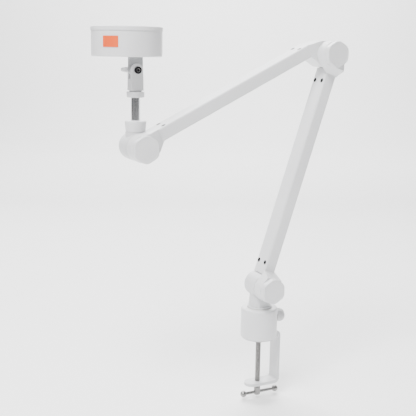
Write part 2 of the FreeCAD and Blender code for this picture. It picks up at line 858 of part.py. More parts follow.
def washer_seat():
    """The back ear's slanting flat is deepest just below the washer's edge."""
    slope = (bracket_foot_y - bracket_top_y) / (tilt_height + bracket_ear_radius - bracket_bottom)
    return flat_at_tilt() + slope * (wing_hub_radius + 1.5)


def tilt_washer():
    start = washer_seat()
    ring = across(wing_hub_radius + 1.5, start, start + tilt_washer_thickness(), 0, tilt_height)
    return ring.cut(across(tilt_screw_radius + fit, start - 1, start + 5, 0, tilt_height))


def wing_nut():
    start = washer_seat() + tilt_washer_thickness() + face_gap
    seat = Vector(0, start, tilt_height)
    hub = Part.makeCone(wing_hub_radius, wing_hub_radius - wing_hub_taper, wing_hub_length, seat, Y)
    parts = [hub]
    for side in (-1, 1):
        parts.append(wing(side, start))
    nut = joined(parts)
    return nut.cut(across(tilt_screw_radius + fit, start - 1, start + wing_hub_length + 1, 0, tilt_height))


def wing(side, start):
    outline = [
        Vector(0, start + 0.5, 0),
        Vector(side * wing_reach * 0.55, start + 2.0, 0),
        Vector(side * wing_reach, start + wing_hub_length + 1.0, 0),
        Vector(side * wing_reach * 0.9, start + wing_hub_length + 5.0, 0),
        Vector(side * wing_reach * 0.45, start + wing_hub_length, 0),
        Vector(0, start + wing_hub_length * 0.8, 0),
        Vector(0, start + 0.5, 0),
    ]
    ear = Part.Face(Part.makePolygon(outline)).extrude(Z * wing_root_height)
    ear.translate(Z * (tilt_height - wing_root_height / 2))
    taper = [
        (0, tilt_height - wing_root_height / 2),
        (side * wing_reach, tilt_height - wing_tip_height / 2),
        (side * wing_reach, tilt_height + wing_tip_height / 2),
        (0, tilt_height + wing_root_height / 2),
    ]
    return ear.common(plate_y(taper, start - 1, start + wing_hub_length * 2))


# ---- Lamp head --------------------------------------------------------------

def in_head(x, y, z):
    return Vector(x, y, z) + head_centre


def flange_screw_places():
    places = []
    for x in (head_offset - tab_flange_length / 2 - 9, head_offset + 9):
        for y in (-tab_flange_width / 2 + 4.5, tab_flange_width / 2 - 4.5):
            places.append(in_head(x, y, inside_floor + tab_flange_thickness))
    return places


def standoff_places():
    places = []
    for step in range(3):
        angle = math.radians(90 + 120 * step)
        places.append(in_head(standoff_circle * math.cos(angle), standoff_circle * math.sin(angle), 0))
    return places


def driver_post_places():
    return [in_head(0, side * (driver_width / 2 + driver_margin - driver_post_radius), 0) for side in (-1, 1)]


def rear_housing():
    outer = cylinder(head_radius, bezel_bottom - head_bottom, in_head(0, 0, head_bottom))
    outer = outer.makeFillet(head_edge, edges_on_plane(outer, Z, head_bottom))
    inner = cylinder(head_radius - head_wall, head_height, in_head(0, 0, inside_floor))
    parts = [outer.cut(inner)]
    for place in standoff_places():
        rise = sink_bottom + fin_height - head_bottom - 1
        parts.append(cylinder(standoff_radius, rise, place + Z * (head_bottom + 1)))
    for place in driver_post_places():
        rise = head_floor + driver_rise + tab_flange_thickness - 1
        parts.append(cylinder(driver_post_radius, rise, place + Z * (head_bottom + 1)))
    housing = joined(parts)
    for place in standoff_places():
        depth = sink_bottom + fin_height - standoff_bore
        housing = housing.cut(cylinder(small_screw_radius + fit, standoff_bore, place + Z * depth))
    for place in flange_screw_places():
        housing = housing.cut(cylinder(small_screw_radius + fit, 10, place - Z * 5.2))
    half = tab_width / 2 + fit
    deep = tab_thickness / 2 + fit
    housing = housing.cut(block(-half, half, -deep, deep, head_bottom - 1, inside_floor + 1))
    return housing.cut(cylinder(inlet_radius + fit, 12, inlet_place() - Y * 8, Y))


def inlet_place():
    return in_head(0, head_radius, head_bottom + inlet_height)


def head_tab():
    """Tongue that tilts in the fork, with its flange inside the head."""
    half = tab_width / 2
    deep = tab_thickness / 2
    tongue = block(-half, half, -deep, deep, tilt_height, inside_floor + tab_flange_thickness)
    tongue = joined([tongue, across(half, -deep, deep, 0, tilt_height)])
    x0 = -tab_flange_length + half + 4
    half_flange = tab_flange_width / 2
    top = inside_floor + tab_flange_thickness
    flange = block(x0, half + 4, -half_flange, half_flange, inside_floor, top)
    tab = joined([tongue, flange])
    for place in flange_screw_places():
        tab = tab.cut(cylinder(small_screw_radius + fit, 10, place - Z * 5))
    return tab.cut(across(tilt_screw_radius + fit, -deep - 1, deep + 1, 0, tilt_height))


def head_tab_screws():
    solids = []
    for place in flange_screw_places():
        length = tab_flange_thickness + head_floor - 0.4
        solids.append(
            screw(small_screw_radius, length, small_screw_head_radius, small_screw_head_height, place, Z, 2.0)
        )
    return group(solids)


def bezel_ring():
    ring = cylinder(head_radius + bezel_lip, bezel_height, in_head(0, 0, bezel_bottom))
    ring = ring.makeFillet(1.4, edges_on_plane(ring, Z, head_top))
    ring = ring.cut(cylinder(lens_radius + play, head_top - 2.0 - bezel_bottom, in_head(0, 0, bezel_bottom)))
    ring = ring.cut(cylinder(bezel_window_radius, bezel_height + 2, in_head(0, 0, bezel_bottom - 1)))
    skirt_foot = in_head(0, 0, bezel_bottom - bezel_skirt)
    skirt = tube_ring(head_radius - head_wall - fit, lens_radius + play, bezel_skirt, skirt_foot)
    return joined([ring, skirt])


def front_lens():
    disc = cylinder(lens_radius, lens_thickness, in_head(0, 0, lens_bottom))
    return disc.makeChamfer(0.3, edges_on_plane(disc, Z, lens_bottom + lens_thickness))


def lens_gasket():
    return tube_ring(lens_radius, bezel_window_radius, gasket_thickness, in_head(0, 0, bezel_bottom))


def led_places():
    places = [in_head(0, 0, 0)]
    for radius, count in ((led_ring_radius * 0.5, led_ring_count // 2), (led_ring_radius, led_ring_count)):
        for step in range(count):
            angle = 2 * math.pi * step / count
            places.append(in_head(radius * math.cos(angle), radius * math.sin(angle), 0))
    return places


def reflector_tray():
    """White tray with one conical cup over each light source."""
    tray = cylinder(lens_radius, tray_height, in_head(0, 0, tray_bottom))
    for place in led_places():
        cup = Part.makeCone(led_size * 0.8, led_size * 1.6, tray_height, place + Z * tray_bottom)
        tray = tray.cut(cup)
    for place in standoff_places():
        pocket = cylinder(small_screw_head_radius + play, small_screw_head_height, place + Z * tray_bottom)
        tray = tray.cut(pocket)
    return tray


def led_board():
    board = cylinder(led_board_radius, led_board_thickness, in_head(0, 0, led_board_bottom))
    for place in standoff_places():
        board = board.cut(cylinder(small_screw_radius + fit, 10, place + Z * (led_board_bottom - 2)))
    return board


def led_chips():
    solids = []
    top = led_board_bottom + led_board_thickness
    for place in led_places():
        half = led_size / 2
        chip = block(-half, half, -half, half, 0, led_height)
        chip.translate(place + Z * top)
        solids.append(chip)
    return group(solids)


def heat_sink():
    """Aluminium plate with straight fins below it."""
    plate = cylinder(heat_sink_radius, heat_sink_plate, in_head(0, 0, sink_top - heat_sink_plate))
    parts = [plate]
    count = int((heat_sink_radius - 6) // fin_pitch)
    for step in range(-count, count + 1):
        x = step * fin_pitch
        reach = math.sqrt((heat_sink_radius - 3) ** 2 - x * x)
        low = in_head(x - fin_thickness / 2, -reach, sink_bottom)
        parts.append(Part.makeBox(fin_thickness, reach * 2, fin_height + 1, low))
    sink = joined(parts)
    for place in standoff_places():
        sink = sink.cut(cylinder(standoff_radius + 1.0, fin_height, place + Z * sink_bottom))
        sink = sink.cut(cylinder(small_screw_radius + fit, 30, place + Z * sink_bottom))
    return sink


def head_core_screws():
    solids = []
    for place in standoff_places():
        seat = place + Z * (led_board_bottom + led_board_thickness)
        length = led_board_thickness + heat_sink_plate + 6.0
        head_height = led_height + small_screw_head_height
        solids.append(screw(small_screw_radius, length, small_screw_head_radius, head_height, seat, Z, 2.0))
    return group(solids)


def driver_board():
    """Control board on two posts, with its capacitor, coil and chip."""
    bottom = inside_floor + tab_flange_thickness + driver_rise
    half_x = driver_length / 2
    half_y = driver_width / 2 + driver_margin
    board = block(-half_x, half_x, -half_y, half_y, 0, driver_thickness)
    board.translate(in_head(0, 0, bottom))
    top = bottom + driver_thickness
    parts = [board]
    parts.append(cylinder(4.0, 3.6, in_head(-half_x + 8, 8, top)))
    parts.append(cylinder(5.0, 3.0, in_head(half_x - 9, -7, top)))
    chip = block(-5, 5, -4, 4, 0, 1.4)
    chip.translate(in_head(-2, 0, top))
    parts.append(chip)
    board = joined(parts)
    for place in driver_post_places():
        board = board.cut(cylinder(small_screw_radius - 0.4, 10, place + Z * (bottom - 2)))
    return board


def dc_inlet():
    """Round power socket in the head's back wall."""
    place = inlet_place()
    barrel = cylinder(inlet_radius, 10.0, place - Y * 9.0, Y)
    rim = cylinder(inlet_radius + 1.5, 1.2, place, Y)
    socket = joined([barrel, rim]).cut(cylinder(inlet_bore_radius, 9.0, place - Y * 7.0, Y))
    return joined([socket, cylinder(inlet_pin_radius, 7.5, place - Y * 7.5, Y)])


def head_label():
    """Thin curved plate on the head's side."""
    low = head_bottom + head_height / 2 - label_height / 2 - label_drop
    start = math.radians(label_angle - label_span / 2)
    ring = tube_ring(head_radius + label_thickness, head_radius, label_height, in_head(0, 0, low))
    far = head_radius * 2
    points = [head_centre]
    for share in (0.0, 0.5, 1.0):
        angle = start + math.radians(label_span) * share
        points.append(head_centre + Vector(math.cos(angle), math.sin(angle), 0) * far)
    points.append(head_centre)
    wedge = Part.Face(Part.makePolygon(points)).extrude(Z * 400)
    return ring.common(wedge)


# ---- Assembly ---------------------------------------------------------------

def base_nodes():
    return {
        "drum_housing": drum_housing(),
        "base_plate": base_plate(),
        "base_screws": base_screws(),
        "desk_pad": desk_pad(),
        "swivel_bushing": swivel_bushing(),
        "swivel_washer": swivel_washer(),
        "clamp_frame": clamp_frame(),
        "lock_knob": lock_knob(),
        "lock_screw": lock_screw(),
        "clamp_screw": clamp_screw(),
        "pressure_pad": pressure_pad(),
        "tommy_bar": tommy_bar(),
        "bar_caps": bar_caps(),
        "base_post": base_post(),
        "post_retainer": post_retainer(),
        "retainer_screw": retainer_screw(),
    }


def hinge_nodes():
    nodes = {}
    turns = {"base": Rotation(), "elbow": upper_turn, "wrist": Rotation()}
    pivots = {"base": base_pivot, "elbow": elbow_pivot, "wrist": wrist_pivot}
    for name, pivot in pivots.items():
        place = Placement(pivot, turns[name])
        nodes[name + "_bolt"] = placed(hinge_bolt(), place)
        nodes[name + "_friction_washer"] = placed(friction_washer(), place)
        nodes[name + "_knob"] = placed(knob(), Placement(pivot, Rotation()))
        nodes[name + "_knob_nut"] = placed(knob_nut(), Placement(pivot, Rotation()))
    return nodes


def wrist_nodes():
    makers = (
        wrist_post, collar_nut, rod_collet, chrome_rod, lock_ring, bracket_block, tilt_screw,
        tilt_washer, wing_nut, head_tab, head_tab_screws, rear_housing, bezel_ring, front_lens,
        lens_gasket, reflector_tray, led_board, led_chips, heat_sink, head_core_screws,
        driver_board, dc_inlet, head_label,
    )
    return {maker.__name__: placed(maker(), wrist_place) for maker in makers}


def all_nodes():
    nodes = base_nodes()
    nodes.update(hinge_nodes())
    nodes.update({name: placed(shape, lower_place) for name, shape in lower_arm().items()})
    nodes.update({name: placed(shape, upper_place) for name, shape in upper_arm().items()})
    nodes.update(wrist_nodes())
    return nodes


def main():
    os.makedirs("parts", exist_ok=True)
    for name, shape in all_nodes().items():
        shape.exportStep(os.path.join("parts", name + ".step"))
        state = "ok" if shape.isValid() else "INVALID"
        print(name, len(shape.Solids), "solids", round(shape.Volume), "mm3", state)
    print("base pivot", base_pivot, "elbow pivot", elbow_pivot, "wrist pivot", wrist_pivot)


main()
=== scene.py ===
import json
import math
import bmesh
import bpy
import numpy
from mathutils import Matrix, Vector


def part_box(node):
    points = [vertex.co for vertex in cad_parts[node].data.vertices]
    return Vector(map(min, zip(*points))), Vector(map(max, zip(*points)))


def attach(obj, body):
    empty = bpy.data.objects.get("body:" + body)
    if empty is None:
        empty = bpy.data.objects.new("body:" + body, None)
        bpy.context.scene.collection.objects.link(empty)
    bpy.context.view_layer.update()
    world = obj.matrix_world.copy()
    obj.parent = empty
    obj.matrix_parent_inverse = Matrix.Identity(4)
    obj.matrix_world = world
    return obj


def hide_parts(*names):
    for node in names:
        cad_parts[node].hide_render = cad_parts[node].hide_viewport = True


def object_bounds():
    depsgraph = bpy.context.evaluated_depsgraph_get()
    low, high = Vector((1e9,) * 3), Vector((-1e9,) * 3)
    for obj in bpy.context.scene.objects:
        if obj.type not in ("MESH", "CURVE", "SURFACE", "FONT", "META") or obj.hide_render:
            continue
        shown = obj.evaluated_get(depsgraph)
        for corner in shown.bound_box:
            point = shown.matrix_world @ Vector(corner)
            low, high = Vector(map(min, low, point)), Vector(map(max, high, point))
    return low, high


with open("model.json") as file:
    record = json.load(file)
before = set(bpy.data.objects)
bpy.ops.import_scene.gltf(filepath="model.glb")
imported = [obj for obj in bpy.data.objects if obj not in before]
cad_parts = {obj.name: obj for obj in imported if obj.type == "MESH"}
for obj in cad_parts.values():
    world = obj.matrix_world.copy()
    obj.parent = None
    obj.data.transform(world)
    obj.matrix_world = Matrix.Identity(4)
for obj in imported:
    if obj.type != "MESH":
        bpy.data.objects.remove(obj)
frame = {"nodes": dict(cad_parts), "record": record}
cadLow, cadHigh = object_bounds()
nodes = frame["nodes"]
millimetre = 0.001
print("frame loaded,", len(nodes), "nodes")

cameraView = {
    "place": (-0.5810, -1.0103, 0.4313),
    "yaw": 25.9,     # degrees turned from straight along +Y
    "pitch": 11.2,   # degrees downwards
    "roll": 0.9,
    "lens": 68.37,
    "sensor": 36.0,
}


def addCamera(view):
    data = bpy.data.cameras.new("viewCamera")
    data.lens = view["lens"]
    data.sensor_width = view["sensor"]
    camera = bpy.data.objects.new("viewCamera", data)
    camera.location = view["place"]
    yaw = math.radians(view["yaw"])
    pitch = math.radians(view["pitch"])
    level = math.cos(pitch)
    forward = Vector((math.sin(yaw) * level, math.cos(yaw) * level, -math.sin(pitch)))
    turn = forward.to_track_quat("-Z", "Y").to_matrix()
    turn = turn @ Matrix.Rotation(math.radians(view["roll"]), 3, "Z")
    camera.rotation_euler = turn.to_euler()
    bpy.context.scene.collection.objects.link(camera)
    bpy.context.scene.camera = camera


def newMaterial(name):
    material = bpy.data.materials.new(name)
    material.use_nodes = True
    tree = material.node_tree
    shader = tree.nodes["Principled BSDF"]
    place = tree.nodes.new("ShaderNodeTexCoord")
    return material, tree, shader, place.outputs["Object"]


def addNoise(tree, vector, scale, detail, stretch=(1, 1, 1)):
    mapping = tree.nodes.new("ShaderNodeMapping")
    mapping.inputs["Scale"].default_value = stretch
    tree.links.new(vector, mapping.inputs["Vector"])
    noise = tree.nodes.new("ShaderNodeTexNoise")
    noise.inputs["Scale"].default_value = scale
    noise.inputs["Detail"].default_value = detail
    tree.links.new(mapping.outputs["Vector"], noise.inputs["Vector"])
    return noise.outputs["Fac"]


def addRamp(tree, value, low, high, start=0.3, end=0.7):
    ramp = tree.nodes.new("ShaderNodeValToRGB")
    ramp.color_ramp.elements[0].position = start
    ramp.color_ramp.elements[1].position = end
    ramp.color_ramp.elements[0].color = (*low, 1)
    ramp.color_ramp.elements[1].color = (*high, 1)
    tree.links.new(value, ramp.inputs["Fac"])
    return ramp.outputs["Color"]


def addRange(tree, value, low, high):
    span = tree.nodes.new("ShaderNodeMapRange")
    span.inputs["To Min"].default_value = low
    span.inputs["To Max"].default_value = high
    tree.links.new(value, span.inputs["Value"])
    return span.outputs["Result"]


def addBump(tree, shader, value, strength, distance):
    bump = tree.nodes.new("ShaderNodeBump")
    bump.inputs["Strength"].default_value = strength
    bump.inputs["Distance"].default_value = distance
    tree.links.new(value, bump.inputs["Height"])
    tree.links.new(bump.outputs["Normal"], shader.inputs["Normal"])


def coatedMetal(name, low, high, roughness):
    # painted metal: faint tone, patches of sheen and a fine orange-peel grain
    material, tree, shader, place = newMaterial(name)
    tone = addNoise(tree, place, 28.0, 4.0)
    tree.links.new(addRamp(tree, tone, low, high), shader.inputs["Base Color"])
    patch = addNoise(tree, place, 90.0, 5.0)
    spread = addRange(tree, patch, roughness - 0.06, roughness + 0.08)
    tree.links.new(spread, shader.inputs["Roughness"])
    addBump(tree, shader, addNoise(tree, place, 1500.0, 2.0), 0.12, 0.00012)
    return material


def bareMetal(name, low, high, roughness, stretch, grain=700.0, strength=0.08):
    # unpainted metal, its drawn lines stretched along one direction
    material, tree, shader, place = newMaterial(name)
    lines = addNoise(tree, place, grain, 4.0, stretch)
    tree.links.new(addRamp(tree, lines, low, high), shader.inputs["Base Color"])
    spread = addRange(tree, lines, roughness - 0.04, roughness + 0.08)
    tree.links.new(spread, shader.inputs["Roughness"])
    shader.inputs["Metallic"].default_value = 1.0
    addBump(tree, shader, lines, strength, 0.00006)
    return material


def moulded(name, low, high, roughness, grain=2200.0, strength=0.1):
    material, tree, shader, place = newMaterial(name)
    tone = addNoise(tree, place, 40.0, 4.0)
    tree.links.new(addRamp(tree, tone, low, high), shader.inputs["Base Color"])
    spread = addRange(tree, addNoise(tree, place, 150.0, 4.0), roughness - 0.05, roughness + 0.07)
    tree.links.new(spread, shader.inputs["Roughness"])
    addBump(tree, shader, addNoise(tree, place, grain, 3.0), strength, 0.0001)
    return material


def frostedLens(name):
    material, tree, shader, place = newMaterial(name)
    tone = addNoise(tree, place, 60.0, 3.0)
    colour = addRamp(tree, tone, (0.90, 0.91, 0.92), (0.95, 0.96, 0.97))
    tree.links.new(colour, shader.inputs["Base Color"])
    spread = addRange(tree, addNoise(tree, place, 320.0, 3.0), 0.12, 0.26)
    tree.links.new(spread, shader.inputs["Roughness"])
    shader.inputs["Transmission Weight"].default_value = 0.82
    shader.inputs["IOR"].default_value = 1.49
    addBump(tree, shader, addNoise(tree, place, 900.0, 2.0), 0.1, 0.0001)
    return material


def boardMaterial(name):
    material, tree, shader, place = newMaterial(name)
    cells = tree.nodes.new("ShaderNodeTexVoronoi")
    cells.inputs["Scale"].default_value = 260.0
    cells.distance = "CHEBYCHEV"
    tree.links.new(place, cells.inputs["Vector"])
    colour = addRamp(tree, cells.outputs["Distance"], (0.03, 0.16, 0.07), (0.07, 0.30, 0.14), 0.2, 0.6)
    tree.links.new(colour, shader.inputs["Base Color"])
    tree.links.new(addRange(tree, cells.outputs["Distance"], 0.3, 0.5), shader.inputs["Roughness"])
    addBump(tree, shader, cells.outputs["Distance"], 0.15, 0.0001)
    return material


finishes = {
    "white_powder_coat": coatedMetal("whitePowderCoat", (0.60, 0.605, 0.615), (0.64, 0.64, 0.65), 0.42),
    "white_arm_coat": coatedMetal("whiteArmCoat", (0.66, 0.665, 0.675), (0.70, 0.70, 0.71), 0.36),
    "white_plastic": moulded("whitePlastic", (0.66, 0.66, 0.67), (0.70, 0.70, 0.71), 0.30),
    "polished_rod": bareMetal("polishedRod", (0.70, 0.71, 0.73), (0.84, 0.85, 0.87), 0.08,
                              (1, 1, 30), 60.0, 0.02),
    "bright_steel": bareMetal("brightSteel", (0.20, 0.195, 0.19), (0.34, 0.335, 0.33), 0.26, (1, 1, 12)),
    "black_steel": bareMetal("blackSteel", (0.012, 0.012, 0.013), (0.035, 0.035, 0.037), 0.38,
                             (1, 1, 1), 1200.0),
    "grey_tab": bareMetal("greyTab", (0.42, 0.43, 0.44), (0.56, 0.57, 0.58), 0.40, (14, 1, 1)),
    "orange_label": moulded("orangeLabel", (0.72, 0.085, 0.012), (0.80, 0.11, 0.018), 0.40,
                            1600.0, 0.05),
    "black_rubber": moulded("blackRubber", (0.018, 0.018, 0.019), (0.035, 0.035, 0.037), 0.75,
                            1300.0, 0.3),
    "bearing_nylon": moulded("bearingNylon", (0.62, 0.61, 0.57), (0.70, 0.69, 0.65), 0.45),
    "diffuser": frostedLens("frostedLens"),
    "circuit_board": boardMaterial("circuitBoard"),
    "led_yellow": moulded("ledPhosphor", (0.80, 0.66, 0.12), (0.90, 0.76, 0.20), 0.5),
    "sink_aluminium": bareMetal("millAluminium", (0.60, 0.61, 0.62), (0.74, 0.75, 0.76), 0.34,
                                (1, 18, 1)),
    "inlet_black": moulded("inletBlack", (0.015, 0.015, 0.016), (0.03, 0.03, 0.032), 0.35),
}
slotOf = {row["node"]: row["material_slot"] for row in frame["record"]["subparts"]}
# the desk pad keeps its rubber slot but is shown in a pale rubber
palePad = moulded("paleRubber", (0.60, 0.60, 0.61), (0.68, 0.68, 0.69), 0.7, 1300.0, 0.3)
for nodeName, node in nodes.items():
    node.data.materials.clear()
    node.data.materials.append(palePad if nodeName == "desk_pad" else finishes[slotOf[nodeName]])
print("finishes made,", len(finishes))


def addPiece(name, mesh, body, slot, replaced=(), crease=35.0):
    for polygon in mesh.polygons:
        polygon.use_smooth = True
    mesh.materials.clear()
    mesh.materials.append(finishes[slot])
    piece = bpy.data.objects.new(name, mesh)
    bpy.context.scene.collection.objects.link(piece)
    mesh.set_sharp_from_angle(angle=math.radians(crease))
    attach(piece, body)
    if replaced:
        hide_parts(*replaced)


def meshFrom(name, form):
    mesh = bpy.data.meshes.new(name)
    form.to_mesh(mesh)
    form.free()
    return mesh


onAxis = 1e-7   # a radius below this is a single point on the axis


def lathe(profile, segments):
    # profile: (radius, height) pairs round a closed section, or from axis to axis
    form = bmesh.new()
    rings = []
    for radius, height in profile:
        if radius < onAxis:
            rings.append([form.verts.new((0, 0, height))])
            continue
        ring = []
        for step in range(segments):
            angle = 2 * math.pi * step / segments
            ring.append(form.verts.new((radius * math.cos(angle), radius * math.sin(angle), height)))
        rings.append(ring)
    closed = len(rings[0]) > 1
    following = rings[1:] + rings[:1] if closed else rings[1:]
    for low, high in zip(rings, following):
        for step in range(segments):
            after = (step + 1) % segments
            if len(low) == 1:
                form.faces.new((low[0], high[after], high[step]))
            elif len(high) == 1:
                form.faces.new((low[step], low[after], high[0]))
            else:
                form.faces.new((low[step], low[after], high[after], high[step]))
    bmesh.ops.recalc_face_normals(form, faces=form.faces)
    return form


def arc(centre, radius, start, end, steps=6):
    # points of a round edge in a profile, angles in degrees
    points = []
    for step in range(steps + 1):
        angle = math.radians(start + (end - start) * step / steps)
        points.append((centre[0] + radius * math.cos(angle), centre[1] + radius * math.sin(angle)))
    return points


def scaled(points):
    # a profile given in millimetres, in metres
    return [(radius * millimetre, height * millimetre) for radius, height in points]


def skinned(form, rings):
    # a closed solid through rings of corners, each ring with as many corners as the next
    count = len(rings[0])
    for low, high in zip(rings, rings[1:]):
        for step in range(count):
            after = (step + 1) % count
            form.faces.new((low[step], low[after], high[after], high[step]))
    form.faces.new(list(reversed(rings[0])))
    form.faces.new(rings[-1])
    bmesh.ops.recalc_face_normals(form, faces=form.faces)
    return form


def turned(form, rotation, place):
    bmesh.ops.transform(form, matrix=Matrix.Translation(place) @ rotation, verts=form.verts)
    return form


towardsFront = Matrix.Rotation(math.radians(90), 4, "X")   # a lathe's +Z becomes -Y
towardsRight = Matrix.Rotation(math.radians(90), 4, "Y")   # a lathe's +Z becomes +X
upright = Matrix.Identity(4)

stageSizes = {"drop": 0.004, "half": 6.0, "depth": 3.2, "bend": 1.6, "rise": 6.0, "bendSteps": 16}


def addStage(sizes):
    # a floor that bends up into a backdrop
    floorHeight = cadLow.z - sizes["drop"]
    depth = sizes["depth"]
    bend = sizes["bend"]
    outline = [(-sizes["half"], 0.0), (depth, 0.0)]
    for step in range(1, sizes["bendSteps"] + 1):
        angle = math.radians(90 * step / sizes["bendSteps"])
        outline.append((depth + bend * math.sin(angle), bend * (1 - math.cos(angle))))
    outline.append((depth + bend, sizes["rise"]))
    form = bmesh.new()
    rows = []
    for along, height in outline:
        ends = []
        for side in (-sizes["half"], sizes["half"]):
            ends.append(form.verts.new((side, along, floorHeight + height)))
        rows.append(ends)
    for low, high in zip(rows, rows[1:]):
        form.faces.new((low[0], low[1], high[1], high[0]))
    turn = Matrix.Rotation(-math.radians(cameraView["yaw"]), 4, "Z")
    bmesh.ops.transform(form, matrix=turn, verts=form.verts)
    mesh = meshFrom("paleStage", form)
    for polygon in mesh.polygons:
        polygon.use_smooth = True
    stage = bpy.data.objects.new("paleStage", mesh)
    bpy.context.scene.collection.objects.link(stage)
    material, tree, shader, place = newMaterial("palePaper")
    tone = addNoise(tree, place, 3.0, 3.0)
    colour = addRamp(tree, tone, (0.94, 0.94, 0.94), (0.96, 0.96, 0.96))
    tree.links.new(colour, shader.inputs["Base Color"])
    shader.inputs["Roughness"].default_value = 0.9
    mesh.materials.append(material)


def addSoftBox(name, place, target, size, power):
    data = bpy.data.lights.new(name, "AREA")
    data.shape = "RECTANGLE"
    data.size = size[0]
    data.size_y = size[1]
    data.energy = power
    lamp = bpy.data.objects.new(name, data)
    lamp.location = place
    lamp.rotation_euler = (Vector(target) - Vector(place)).to_track_quat("-Z", "Y").to_euler()
    bpy.context.scene.collection.objects.link(lamp)


studio = {
    "world": 0.25,
    "key": {"place": (-0.9, -0.7, 1.7), "size": (0.7, 0.7), "power": 75.0},
    "fill": {"place": (1.9, -0.9, 1.0), "size": (0.9, 1.6), "power": 4.0},
    "wall": {"place": (1.0, 2.0, 2.4), "target": (2.3, 5.0, 1.6), "size": (3.0, 1.2), "power": 300.0},
    "back": {"place": (0.3, 1.4, 2.2), "size": (2.6, 1.6), "power": 190.0},
}


def addLights(sizes):
    world = bpy.data.worlds.new("softRoom")
    world.use_nodes = True
    world.node_tree.nodes["Background"].inputs["Color"].default_value = (1, 1, 1, 1)
    world.node_tree.nodes["Background"].inputs["Strength"].default_value = sizes["world"]
    bpy.context.scene.world = world
    middle = (cadLow + cadHigh) / 2
    for name in ("key", "fill", "wall", "back"):
        box = sizes[name]
        addSoftBox(name + "Box", box["place"], box.get("target", middle), box["size"], box["power"])


addCamera(cameraView)
addStage(stageSizes)
addLights(studio)
print("stage ready")

hingeKnob = {
    "flats": 35.6,
    "corner": 10.7,        # radius of the rounded corners
    "cornerSteps": 8,
    "cornerShrink": 0.3,   # how much of an inset the corner's radius loses
    "leastCorner": 1.0,
    "backChamfer": 0.4,
    "edge": 1.5,
    "edgeSteps": 6,
    "face": 15.6,
    "faceStep": 0.35,      # depth of the sunk face
    "faceSlope": 0.25,
    "faceRun": 4.0,
    "length": 9.3,
}


def roundedHexagon(flats, corner, inset, cornerSteps):
    # outline in the plane, corners up and down, moved in by an inset
    half = flats / 2 - inset
    reach = half / math.cos(math.radians(30))
    back = corner / math.cos(math.radians(30))
    points = []
    for side in range(6):
        middle = math.radians(90 + 60 * side)
        centre = Vector((math.cos(middle), math.sin(middle))) * (reach - back)
        for step in range(cornerSteps + 1):
            angle = middle + math.radians(-30 + 60 * step / cornerSteps)
            points.append(centre + Vector((math.cos(angle), math.sin(angle))) * corner)
    return points


def knobForm(sizes):
    length = sizes["length"]
    edge = sizes["edge"]
    sunk = length - sizes["faceStep"]
    levels = [(sizes["backChamfer"], 0.0), (0.0, sizes["backChamfer"])]
    for step in range(sizes["edgeSteps"] + 1):
        angle = math.radians(90 * step / sizes["edgeSteps"])
        levels.append((edge * (1 - math.cos(angle)), length - edge + edge * math.sin(angle)))
    lip = sizes["flats"] / 2 - sizes["face"]
    levels += [(lip, length), (lip + sizes["faceSlope"], sunk), (lip + sizes["faceRun"], sunk)]
    form = bmesh.new()
    rings = []
    for inset, height in levels:
        corner = max(sizes["corner"] - inset * sizes["cornerShrink"], sizes["leastCorner"])
        ring = []
        for point in roundedHexagon(sizes["flats"], corner, inset, sizes["cornerSteps"]):
            ring.append(form.verts.new((point.x * millimetre, point.y * millimetre, height * millimetre)))
        rings.append(ring)
    return skinned(form, rings)


for hinge in ("base", "elbow", "wrist"):
    low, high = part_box(hinge + "_knob")
    centre = Vector(((low.x + high.x) / 2, high.y, (low.z + high.z) / 2))
    form = turned(knobForm(hingeKnob), towardsFront, centre)
    mesh = meshFrom(hinge + "HingeKnob", form)
    addPiece(hinge + "HingeKnob", mesh, hinge + "_knob_body", "white_plastic", [hinge + "_knob"])
print("hinge knobs made")

clampThread = {"radius": 4.0, "depth": 0.62, "pitch": 1.25, "perTurn": 24}
threadFlanks = (0.34, 0.5, 0.84)   # where crest and root begin, as shares of the pitch
clampHub = {"length": 16.0, "edge": 1.2, "groove": 0.7, "grooveAt": 0.78, "sides": 64}
clampTip = {"collar": 3.35, "pin": 3.0, "pinLength": 3.0, "collarLength": 2.2, "sides": 48}
threadEnds = {"intoHub": 1.0, "belowTip": 1.6}


def threadForm(sizes, bottom, top):
    # one helical ridge, its crest and root walked round the shaft together
    form = bmesh.new()
    radius = sizes["radius"] * millimetre
    root = radius - sizes["depth"] * millimetre
    pitch = sizes["pitch"] * millimetre
    steps = int((top - bottom) / pitch * sizes["perTurn"])
    crestStart, crestEnd, rootStart = threadFlanks
    offsets = ((root, 0.0), (radius, crestStart), (radius, crestEnd), (root, rootStart))
    rows = []
    for step in range(steps + 1):
        angle = 2 * math.pi * step / sizes["perTurn"]
        rise = bottom + pitch * step / sizes["perTurn"]
        row = []
        for reach, share in offsets:
            corner = (reach * math.cos(angle), reach * math.sin(angle), rise + pitch * share)
            row.append(form.verts.new(corner))
        rows.append(row)
    for first, second in zip(rows, rows[1:]):
        for index in range(len(offsets) - 1):
            form.faces.new((first[index], second[index], second[index + 1], first[index + 1]))
    turn = sizes["perTurn"]
    for index in range(len(rows) - turn - 1):
        low, lowNext = rows[index][3], rows[index + 1][3]
        high, highNext = rows[index + turn][0], rows[index + turn + 1][0]
        form.faces.new((low, lowNext, highNext, high))
    form.faces.new(rows[0])
    form.faces.new(list(reversed(rows[-1])))
    return form


def hubProfile(sizes, radius, low, high):
    edge = sizes["edge"] * millimetre
    groove = sizes["groove"] * millimetre
    middle = low + (high - low) * sizes["grooveAt"]
    profile = [(0.0, low)]
    profile += arc((radius - edge, low + edge), edge, -90, 0)
    profile += [(radius, middle - groove), (radius - groove, middle), (radius, middle + groove)]
    profile += arc((radius - edge, high - edge), edge, 0, 90)
    profile.append((0.0, high))
    return profile


